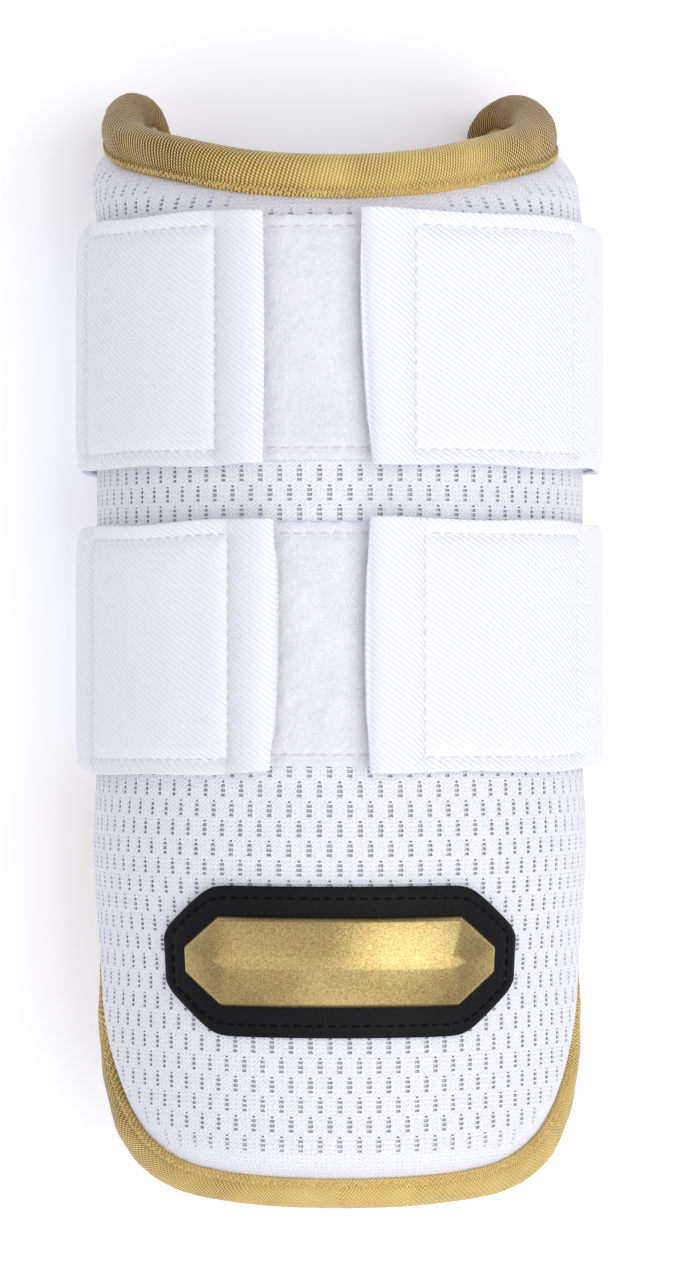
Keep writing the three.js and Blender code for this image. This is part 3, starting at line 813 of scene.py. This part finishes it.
# %% Grid and nap of a loop strip
GAP = 0.3
LOOP_THICKNESS, LOOP_GROUND = 1.0, 0.75  # to the top of the pile, and of the strip alone
LOOP_WIDTH, LOOP_RADIUS = 48.2, 51.5
LOOP_ANGLE = math.radians(100)
OPEN_PART = np.radians(np.arange(-22, 18, 0.55))
HIDDEN_LEFT, HIDDEN_RIGHT, LOOP_LINES = 36, 38, 92
nap = np.random.default_rng(7)
left_part = np.linspace(-LOOP_ANGLE, OPEN_PART[0], HIDDEN_LEFT)[:-1]
right_part = np.linspace(OPEN_PART[-1], LOOP_ANGLE, HIDDEN_RIGHT)[1:]
loop_angles = np.concatenate([left_part, OPEN_PART, right_part])
loop_lines = np.linspace(-LOOP_WIDTH / 2, LOOP_WIDTH / 2, LOOP_LINES)


def soft_noise(shape, blur):
    """Random heights from -1 to 1, smoothed over a few grid steps."""
    noise = nap.standard_normal(shape)
    for _ in range(blur):
        for axis in (0, 1):
            noise = (np.roll(noise, 1, axis) + 2 * noise + np.roll(noise, -1, axis)) / 4
    return noise / np.abs(noise).max()


print("a loop strip has", len(loop_angles), "by", len(loop_lines), "lines")

# %% Two loop strips
FINE_TUFTS, BROAD_TUFTS = 0.16, 0.15
LOOP_SEAM, SEAM_DIP, SEAM_SPREAD = 2.3, 0.32, 0.8  # inset of the seam, and how it pulls the pile down
EDGE_DIP, EDGE_SPREAD, TUFTS_FROM = 0.35, 0.5, 0.8
FRAY, FRAY_WAVES, FRAY_WITHIN = 0.12, 90, 0.3
grid = (len(loop_angles), len(loop_lines))
for name, centre in STRAP_CENTRE.items():
    strip, column, row = cut_flat(f"loop_strip_{name}_pile", loop_angles, loop_lines)
    tufts = soft_noise(grid, 1) * FINE_TUFTS + soft_noise(grid, 6) * BROAD_TUFTS
    from_edge = LOOP_WIDTH / 2 - np.abs(loop_lines[row])
    sewn = -SEAM_DIP * np.exp(-(((from_edge - LOOP_SEAM) / SEAM_SPREAD) ** 2))
    soft_edge = -EDGE_DIP * np.exp(-from_edge / EDGE_SPREAD)
    height = GAP + LOOP_THICKNESS + tufts[column, row] * (from_edge > TUFTS_FROM) + sewn + soft_edge
    fray = FRAY * np.sin(loop_angles[column] * FRAY_WAVES) * (from_edge < FRAY_WITHIN)
    lay(strip, on_guard(loop_angles[column], centre + loop_lines[row] + fray, height))
    mark_cloth(strip, np.stack([loop_angles[column] * LOOP_RADIUS, loop_lines[row] + 3 * centre], -1))
    modify(strip, "SOLIDIFY", thickness=LOOP_GROUND * MM, offset=-1)
    finish_piece(strip, loop_white, "loop", f"loop_strip_{name}")

# %% Seams of the loop strips
# Two plain rows hold each strip, a little inside its long edges.
LOOP_SEAM_END = 1.7 * LOOP_RADIUS
LOOP_SEAM_LEVEL = GAP + LOOP_THICKNESS - 0.14


def on_loop(places, lift):
    return on_guard(places[:, 0] / LOOP_RADIUS, places[:, 1], LOOP_SEAM_LEVEL + lift)


for name, centre in STRAP_CENTRE.items():
    offset = LOOP_WIDTH / 2 - LOOP_SEAM
    levels = (centre - offset, centre + offset)
    lines = [np.array([(-LOOP_SEAM_END, level), (LOOP_SEAM_END, level)]) for level in levels]
    sew_lines(f"loop_seam_{name}", lines, "loop", thread_white, "loop", on_loop)

# %% [markdown]
# ## The elastic straps
# Each strap is one length of 50 mm elastic. It starts at the free end of its right tab, runs round the side,
# lies flat across the open back and comes round to its left tab. It is cut as a grid along that run. The
# stitch box of each hook pad pulls the cloth in, the free end beyond it puffs up, and the long edges waver a
# little.

# %% Sizes of the straps
STRAP_WIDTH, STRAP_THICKNESS = 50, 1.5
STRAP_RADIUS, TAB_RADIUS = 50.5, 54
STRAP_SIDE, STRAP_HOOK, STRAP_END = 2.6, 2.9, 3.6  # inner face above the mesh: side, hook pad, free end
BACK_BEND = 16.5
bend_z = STRAP_THICKNESS + BACK_BEND
bend_drop = AXIS_HEIGHT - bend_z
bend_x = math.sqrt((STRAP_RADIUS + STRAP_SIDE - BACK_BEND) ** 2 - bend_drop**2)
bend_angle = math.pi - math.atan2(bend_x, bend_drop)
TABS = {  # end at its low and high corner, stitch box from and to, all in degrees, and sag in millimetres
    ("upper", -1): (15.6, 15.6, 27, 71.5, 0.0),
    ("upper", 1): (6.5, 4.2, 16, 60.5, 0.0),
    ("lower", -1): (14.2, 13.4, 24, 67.5, 1.2),
    ("lower", 1): (6.0, 6.0, 18, 62.5, 0.3),
}
TAB_BOW = {"upper": {-1: 0.25, 1: 0.8}, "lower": {-1: 0.9, 1: 0.8}}  # degrees that the end bulges
print("straps leave the round at", round(math.degrees(bend_angle)), "degrees")

# %% Shape of a tab
EASES_FROM, EASES_TO = math.radians(73), math.radians(85)  # past the hook pads, down to the side height
STITCH_INSET, BOX_SLACK, FAR_AWAY = 2.9, 0.5, 9
PUFF, PUFF_TURN = 1.7, 0.8 * math.pi
END_DIP, END_DIP_LENGTH = 0.7, 0.8
BOX_PULL, BOX_PULL_LENGTH = 0.75, 1.0
PAD_SWELL, PAD_SWELL_LENGTH = 0.3, 3
CURL, CURL_WIDTH = 1.2, 1.8  # the long edges curl in at the sides
CURLS_FROM, CURLS_FULL, CURLS_TO = math.radians(55), math.radians(78), math.radians(95)


def from_stitch_box(angle, across, hook_from, hook_to):
    """Distance from the nearest side of a tab's stitch box."""
    box_half = STRAP_WIDTH / 2 - STITCH_INSET
    inside = (angle > hook_from) & (angle < hook_to)
    upright = np.minimum(np.abs(angle - hook_from), np.abs(angle - hook_to)) * TAB_RADIUS
    upright = np.where(np.abs(across) < box_half + BOX_SLACK, upright, FAR_AWAY)
    level = np.where(inside, np.abs(np.abs(across) - box_half), FAR_AWAY)
    return np.minimum(upright, level)


def tab_height(tab, angle, share):
    """Inner face of a tab above the mesh, at an angle and a share of its width."""
    end_low, end_high, hook_from, hook_to, _ = (math.radians(x) for x in tab)
    end = end_low + (end_high - end_low) * share
    height = STRAP_END + (STRAP_HOOK - STRAP_END) * ease((angle - end) / (hook_from - end), 0, 1)
    height = height + (STRAP_SIDE - STRAP_HOOK) * ease(angle, EASES_FROM, EASES_TO)
    from_end = np.clip(angle - end, 0, None) * TAB_RADIUS
    free_share = np.clip(hook_from - angle, 0, None) / (hook_from - end)
    puff = PUFF * np.sin(PUFF_TURN * np.clip(free_share, 0, 1))
    puff = puff - END_DIP * np.exp(-from_end / END_DIP_LENGTH) * (free_share > 0)
    from_box = from_stitch_box(angle, (share - 0.5) * STRAP_WIDTH, hook_from, hook_to)
    pull = BOX_PULL * np.exp(-from_box / BOX_PULL_LENGTH)
    pull = pull - PAD_SWELL * (1 - np.exp(-from_box / PAD_SWELL_LENGTH)) * (angle > hook_from)
    curls = ease(angle, CURLS_FROM, CURLS_FULL) * (1 - ease(angle, CURLS_TO, bend_angle))
    from_long_edge = (0.5 - np.abs(share - 0.5)) * STRAP_WIDTH
    curl = CURL * np.exp(-from_long_edge / CURL_WIDTH) * curls
    return height + puff - pull - curl


middle_of_pad = tab_height(TABS["upper", 1], np.radians(38), 0.5)
print("a tab stands", round(float(middle_of_pad), 1), "mm above the mesh in the middle of its pad")

# %% Run of a strap
FREE_STEPS, BOX_STEPS, SIDE_STEPS, BACK_STEPS = 26, 70, 34, 14
WAVER, WAVER_TURNS = 0.25, 17


def stacked(x, y, z):
    return np.stack(np.broadcast_arrays(x, y, z), -1)


def strap_side(name, side, shares):
    """One side of a strap, from its free end to the middle of the back: places and outward directions."""
    tab = TABS[name, side]
    end_low, end_high, hook_from, hook_to, sag = tab
    shares = shares[None, :]
    level = STRAP_CENTRE[name] + (shares - 0.5) * STRAP_WIDTH
    zero = np.zeros_like(level)
    bow = TAB_BOW[name][side] * np.sin(math.pi * shares)
    end = np.radians(end_low + (end_high - end_low) * shares - bow)
    turns = [end, zero + math.radians(hook_from), zero + math.radians(hook_to), zero + bend_angle]
    steps = (FREE_STEPS, BOX_STEPS, SIDE_STEPS)  # a station falls on each seam
    angle = np.concatenate([
        first + (last - first) * np.linspace(0, 1, count, endpoint=False)[:, None]
        for first, last, count in zip(turns, turns[1:], steps)
    ])
    way = (angle - end) / (bend_angle - end)
    radius = STRAP_RADIUS + tab_height(tab, angle, shares)
    y = level - sag * np.sin(math.pi * way) + WAVER * np.sin(way * WAVER_TURNS + side) * (2 * shares - 1)
    out = stacked(side * np.sin(angle), 0, np.cos(angle))
    round_part = out * radius[..., None] + stacked(0, y, AXIS_HEIGHT)
    turn = np.linspace(bend_angle, math.pi, BACK_STEPS)[1:, None]
    bend_out = stacked(side * np.sin(turn), zero, np.cos(turn))
    bend_part = bend_out * BACK_BEND + stacked(side * bend_x, level, bend_z)
    back_x = np.linspace(bend_x, 0, BACK_STEPS)[1:, None]
    back_part = stacked(side * back_x, level, STRAP_THICKNESS)
    back_out = stacked(0 * back_x, zero, -1)
    return np.concatenate([round_part, bend_part, back_part]), np.concatenate([out, bend_out, back_out])


# %% Cut and wrap the straps
FACE_SLACK = 0.05  # the outer face lies so far inside its CAD solid
HEM_THICKNESS, PLAIN_SHARE, HEM_LENGTH = 2.25, 0.6, 2.0  # the free ends are turned under; the rest is thinner
EDGE_ROUND, SHARP = 0.5, math.radians(60)
CLOTH_OFFSET = {"upper": 0, "lower": 70}  # so that the two weaves differ
seam_share = STITCH_INSET / STRAP_WIDTH
stretches = (  # from, to and how many lines across
    (0, seam_share, 5), (seam_share, 1 - seam_share, 53), (1 - seam_share, 1, 5),
)
shares = np.unique(np.concatenate([np.linspace(*stretch) for stretch in stretches]))
for name in STRAP_CENTRE:
    right, right_out = strap_side(name, 1, shares)
    left, left_out = strap_side(name, -1, shares)
    base = np.concatenate([right, left[-2::-1]])
    out = np.concatenate([right_out, left_out[-2::-1]])
    strap, column, row = cut_flat(f"strap_{name}_elastic", base, shares)
    run = run_along(base[:, len(shares) // 2])
    outer = base + out * (STRAP_THICKNESS - FACE_SLACK)
    lay(strap, (outer[column, row] + [SHIFT_X, SHIFT_Y, 0]) * MM)
    mark_cloth(strap, np.stack([run[column], shares[row] * STRAP_WIDTH + CLOTH_OFFSET[name]], -1))
    hem = strap.vertex_groups.new(name="hem")
    for station, distance in enumerate(np.minimum(run, run[-1] - run)):
        weight = PLAIN_SHARE + (1 - PLAIN_SHARE) * math.exp(-((distance / HEM_LENGTH) ** 2))
        hem.add(np.flatnonzero(column == station).tolist(), weight, "REPLACE")
    modify(strap, "SOLIDIFY", thickness=HEM_THICKNESS * MM, offset=-1, vertex_group="hem")
    modify(strap, "BEVEL", width=EDGE_ROUND * MM, segments=2, limit_method="ANGLE", angle_limit=SHARP)
    finish_piece(strap, elastic_white, "elastic", f"strap_{name}")
    print(name, "strap is", round(run[-1]), "mm long")

# %% Stitch boxes of the tabs
SEAM_RADIUS = 55
STITCH_SINK = 0.02


def on_tab(places, lift, name, side):
    """Places on a tab's outer face: flat places are round the arm and across the strap."""
    tab = TABS[name, side]
    end_low, sag = math.radians(tab[0]), tab[-1]
    angle, across = places[:, 0] / SEAM_RADIUS, places[:, 1]
    radius = STRAP_RADIUS + tab_height(tab, angle, across / STRAP_WIDTH + 0.5) + STRAP_THICKNESS
    radius = radius - STITCH_SINK + lift
    y = STRAP_CENTRE[name] + across - sag * np.sin(math.pi * (angle - end_low) / (bend_angle - end_low))
    place = stacked(side * radius * np.sin(angle), y, AXIS_HEIGHT + radius * np.cos(angle))
    return (place + [SHIFT_X, SHIFT_Y, 0]) * MM


for (name, side), (_, _, hook_from, hook_to, _) in TABS.items():
    low, high = math.radians(hook_from) * SEAM_RADIUS, math.radians(hook_to) * SEAM_RADIUS
    half = STRAP_WIDTH / 2 - STITCH_INSET
    box = np.array([(low, -half), (high, -half), (high, half), (low, half), (low, -half)])
    side_name = "right" if side > 0 else "left"
    lines = [box[n:n + 2] for n in range(4)]
    sew_lines(f"tab_seam_{name}_{side_name}", lines, "tab", thread_white, "elastic", on_tab, name, side)

# %% [markdown]
# ## The hook pads
# The hook pads are pressed between the tabs and the loop strips, and only their edges can be seen. Their CAD
# solids have the right shape, so they stay and only get the look of hook tape.

# %% Hook tape on the CAD pads
for strap_name in STRAP_CENTRE:
    for side_name in ("left", "right"):
        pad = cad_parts[f"hook_pad_{strap_name}_{side_name}"]
        pad.data.materials.clear()
        pad.data.materials.append(hook_white)
print("dressed four hook pads")

# %% [markdown]
# ## The badge
# Low on the front sits a patch of black synthetic leather, a plain stretched hexagon, sewn down with black
# thread. A raised gold moulding with sloping sides lies on it. The patch is cut as a grid whose rows close in
# towards both tips.

# %% Outline of the patch
BADGE_CENTRE, BADGE_HALF_WIDTH, BADGE_HALF_FLAT = -63.6, 38, 26
BADGE_HALF_HEIGHT, BADGE_HALF_TIP = 15, 5.5
CORNER_SOFTNESS, TIP_ROUND, TIP_DROP = 0.1, 2.5, 1.8


def badge_half(across):
    """Half the height of the patch at a place across it, with rounded corners."""
    slope = (np.abs(across) - BADGE_HALF_FLAT) / (BADGE_HALF_WIDTH - BADGE_HALF_FLAT)
    slope = np.logaddexp(0, slope / CORNER_SOFTNESS) * CORNER_SOFTNESS
    past = np.clip((np.abs(across) - BADGE_HALF_WIDTH + TIP_ROUND) / TIP_ROUND, 0, 1)
    drop = TIP_DROP * (1 - np.sqrt(1 - past**2))
    return BADGE_HALF_HEIGHT + (BADGE_HALF_TIP - BADGE_HALF_HEIGHT) * slope - drop


print("the patch is", round(float(2 * badge_half(0)), 1), "mm high in its middle")

# %% Leather patch
PATCH_TOP, PATCH_THICKNESS = 1.9, 1.35
PATCH_SEAM, GROOVE, GROOVE_WIDTH = 2.4, 0.22, 0.6  # inset of the seam, and the groove that it presses
ROUNDING, ROUNDING_WIDTH = 0.45, 0.5
PATCH_COLUMNS, PATCH_ROWS, GATHER = 91, 31, 1.4  # columns gather at the tips
patch_across = BADGE_HALF_WIDTH * np.sin(np.linspace(-1, 1, PATCH_COLUMNS) * GATHER) / math.sin(GATHER)
patch_shares = np.linspace(-1, 1, PATCH_ROWS)
patch, column, row = cut_flat("badge_patch_leather", patch_across, patch_shares)
across = patch_across[column]
half = badge_half(across)
along = BADGE_CENTRE + patch_shares[row] * half
margin = np.minimum((1 - np.abs(patch_shares[row])) * half, BADGE_HALF_WIDTH - np.abs(across))
groove = GROOVE * np.exp(-(((margin - PATCH_SEAM) / GROOVE_WIDTH) ** 2))
rounding = ROUNDING * np.exp(-margin / ROUNDING_WIDTH)
lay(patch, on_guard(across / STRAP_RADIUS, along, PATCH_TOP - groove - rounding))
mark_cloth(patch, np.stack([across, along], -1))
modify(patch, "SOLIDIFY", thickness=PATCH_THICKNESS * MM, offset=-1)
finish_piece(patch, leather_black, "patch", "badge_patch")

# %% Seam round the patch
PATCH_SEAM_LEVEL, SEAM_POINTS = PATCH_TOP - 0.12, 60


def on_patch(places, lift):
    return on_guard(places[:, 0] / STRAP_RADIUS, BADGE_CENTRE + places[:, 1], PATCH_SEAM_LEVEL + lift)


seam_across = np.linspace(PATCH_SEAM - BADGE_HALF_WIDTH, BADGE_HALF_WIDTH - PATCH_SEAM, SEAM_POINTS)
seam_half = badge_half(seam_across) - PATCH_SEAM
upper_seam = np.stack([seam_across, seam_half], -1)
outline = np.concatenate([upper_seam, -upper_seam, upper_seam[:1]])
sew_lines("badge_seam", [outline], "badge", thread_black, "patch", on_patch)

# %% Gold moulding
EDGE_BEVEL = 0.3
plate = copy_solid("badge_plate", "badge_moulding", math.radians(40))
modify(plate, "BEVEL", width=EDGE_BEVEL * MM, segments=3, limit_method="ANGLE", angle_limit=math.radians(9))
finish_piece(plate, moulding_gold, "plate", "badge_plate")

# %% [markdown]
# ## Camera, floor and light
# The photo looks straight at the front from about a metre, so the camera hangs over the guard and looks down.
# Its lens gives the photo's scale: a strap of 50 mm spans a fifth of the frame's height. The floor and the
# light are plain.

# %% Camera
CAMERA_X, CAMERA_Y, CAMERA_DISTANCE = 0.45, -1.2, 950  # the distance is from the arm's axis
FRAME_HEIGHT, FOCAL_PIXELS, SENSOR = 1280, 4567, 36
camera_data = bpy.data.cameras.new("camera")
camera_data.sensor_fit = "VERTICAL"
camera_data.sensor_height = SENSOR
camera_data.lens = SENSOR * FOCAL_PIXELS / FRAME_HEIGHT
camera_data.clip_start = 0.05
camera_data.clip_end = 20
camera = bpy.data.objects.new("camera", camera_data)
camera.location = (CAMERA_X * MM, CAMERA_Y * MM, (AXIS_HEIGHT + CAMERA_DISTANCE) * MM)
bpy.context.collection.objects.link(camera)
bpy.context.scene.camera = camera
print("lens is", round(camera_data.lens, 1), "mm")

# %% Floor
FLOOR_LEVEL = -0.6
floor_white, tree, shader = new_material("pale studio floor")
place = add(tree, "TexCoord", out="Object")
paper = add(tree, "TexNoise", {"Vector": place, "Scale": 40, "Detail": 4})
tint = add(tree, "ValToRGB", {"Fac": paper}, stops=((0, "#FAFAFB"), (1, "#FDFDFE")))
plug(tree, shader, {"Base Color": tint, "Roughness": 0.9})
plug(tree, shader, {"Emission Color": colour("#FFFFFF"), "Emission Strength": 0.18})
bpy.ops.object.select_all(action="DESELECT")
bpy.ops.mesh.primitive_plane_add(size=8, location=(0, 0, FLOOR_LEVEL * MM))
floor = bpy.context.object
floor.name = "floor"
floor.data.materials.append(floor_white)
print("floor is laid")

# %% Soft light
LIGHTS = {  # place in metres, size, power in watts
    "key": ((0.7, -0.08, 1.37), 1.3, 13.1),
    "fill": ((-0.9, -0.2, 1.2), 1.4, 4.6),
    "low": ((0.1, -1.1, 0.8), 1.0, 3.0),
}
for name, (where, size, power) in LIGHTS.items():
    lamp = bpy.data.lights.new(name, "AREA")
    lamp.size = size
    lamp.energy = power
    light = bpy.data.objects.new(name, lamp)
    light.location = where
    light.rotation_euler = (-light.location).to_track_quat("-Z", "Y").to_euler()
    bpy.context.collection.objects.link(light)
world = bpy.data.worlds.new("studio")
world.use_nodes = True
plug(world.node_tree, world.node_tree.nodes["Background"], {"Color": colour("#F0F0FA"), "Strength": 0.5})
bpy.context.scene.world = world
bpy.context.scene.view_settings.view_transform = "Standard"
print("lit by", len(LIGHTS), "lamps")
